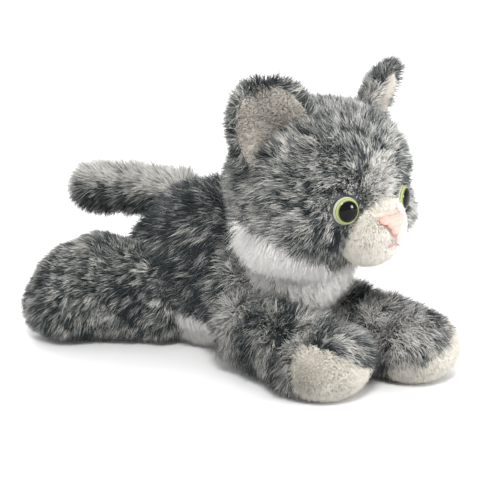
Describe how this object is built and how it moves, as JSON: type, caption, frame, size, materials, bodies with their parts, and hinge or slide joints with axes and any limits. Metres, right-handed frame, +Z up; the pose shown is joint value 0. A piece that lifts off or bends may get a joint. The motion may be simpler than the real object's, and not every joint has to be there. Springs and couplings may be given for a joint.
{
  "type": "plush cat",
  "caption": "Soft plush kitten lying on its belly with head raised, mottled grey long pile with a white bib, cream paws and green safety eyes.",
  "frame": {"origin": "on the floor plane, in the flat underside of the belly panel below the middle of the torso", "axes": "+Z up, the body faces -Y and the tail points to +Y, the cat's left side is +X"},
  "size_m": [0.1584, 0.2361, 0.1432],
  "materials": {
    "grey_pile": "long pile plush, mottled slate and taupe",
    "white_pile": "long pile plush, off-white",
    "cream_short": "short pile plush, cream",
    "taupe_short": "short pile plush, taupe",
    "stuffing": "polyester fibre fill",
    "liner": "woven bag filled with plastic pellets",
    "pink": "flocked, soft",
    "thread": "embroidery thread",
    "clear": "clear, polished",
    "iris": "green ring round a black pupil",
    "black": "moulded"
  },
  "bodies": {
    "torso": {"body_side_left": "grey_pile", "body_side_right": "grey_pile", "belly_panel": "white_pile", "chest_bib": "white_pile", "body_stuffing": "stuffing", "pellet_bag": "liner"},
    "neck": {"neck_stuffing": "stuffing"},
    "head": {"head_side_left": "grey_pile", "head_side_right": "grey_pile", "forehead_gusset": "grey_pile", "cheek_ruff": "white_pile", "muzzle_panel": "cream_short", "nose": "pink", "mouth_stitch": "thread", "head_stuffing": "stuffing", "eye_dome_left": "clear", "eye_iris_left": "iris", "eye_post_left": "black", "eye_washer_left": "black", "eye_dome_right": "clear", "eye_iris_right": "iris", "eye_post_right": "black", "eye_washer_right": "black"},
    "ear_left": {"ear_back_left": "grey_pile", "ear_lining_left": "taupe_short"},
    "front_leg_left": {"front_leg_cover_left": "grey_pile", "front_toe_panel_left": "cream_short", "front_leg_stuffing_left": "stuffing"},
    "hind_leg_left": {"hind_leg_cover_left": "grey_pile", "hind_leg_stuffing_left": "stuffing"},
    "ear_right": {"ear_back_right": "grey_pile", "ear_lining_right": "taupe_short"},
    "front_leg_right": {"front_leg_cover_right": "grey_pile", "front_toe_panel_right": "cream_short", "front_leg_stuffing_right": "stuffing"},
    "hind_leg_right": {"hind_leg_cover_right": "grey_pile", "hind_leg_stuffing_right": "stuffing"},
    "tail": {"tail_cover": "grey_pile", "tail_stuffing": "stuffing"}
  },
  "joints": [
    {"name": "head_turn", "type": "hinge", "parent": "torso", "child": "neck", "pos_m": [0.002, -0.038, 0.062], "axis": [0, 0, 1], "range_deg": [-25, 25], "stiffness_Nm_per_rad": 0.4},
    {"name": "head_nod", "type": "hinge", "parent": "neck", "child": "head", "pos_m": [0.002, -0.038, 0.062], "axis": [0.9994, 0.0349, 0], "range_deg": [-12, 15], "stiffness_Nm_per_rad": 0.8},
    {"name": "ear_fold_left", "type": "hinge", "parent": "head", "child": "ear_left", "pos_m": [0.03505, -0.05588, 0.1155], "axis": [0.7551, 0.4012, -0.5185], "range_deg": [-20, 20], "stiffness_Nm_per_rad": 0.04},
    {"name": "ear_fold_right", "type": "hinge", "parent": "head", "child": "ear_right", "pos_m": [-0.02891, -0.05812, 0.1155], "axis": [0.7813, -0.3476, 0.5185], "range_deg": [-20, 20], "stiffness_Nm_per_rad": 0.04},
    {"name": "front_leg_swing_left", "type": "hinge", "parent": "torso", "child": "front_leg_left", "pos_m": [0.024, -0.038, 0.022], "axis": [0, 0, 1], "range_deg": [-2, 15], "stiffness_Nm_per_rad": 0.3},
    {"name": "hind_leg_swing_left", "type": "hinge", "parent": "torso", "child": "hind_leg_left", "pos_m": [0.025, 0.024, 0.025], "axis": [0, 0, -1], "range_deg": [-6, 12], "stiffness_Nm_per_rad": 0.3},
    {"name": "front_leg_swing_right", "type": "hinge", "parent": "torso", "child": "front_leg_right", "pos_m": [-0.024, -0.038, 0.022], "axis": [0, 0, -1], "range_deg": [-2, 15], "stiffness_Nm_per_rad": 0.3},
    {"name": "hind_leg_swing_right", "type": "hinge", "parent": "torso", "child": "hind_leg_right", "pos_m": [-0.025, 0.024, 0.025], "axis": [0, 0, 1], "range_deg": [-6, 12], "stiffness_Nm_per_rad": 0.3},
    {"name": "tail_swing", "type": "hinge", "parent": "torso", "child": "tail", "pos_m": [0, 0.05, 0.066], "axis": [0, 0, 1], "range_deg": [-25, 25], "stiffness_Nm_per_rad": 0.1}
  ]
}
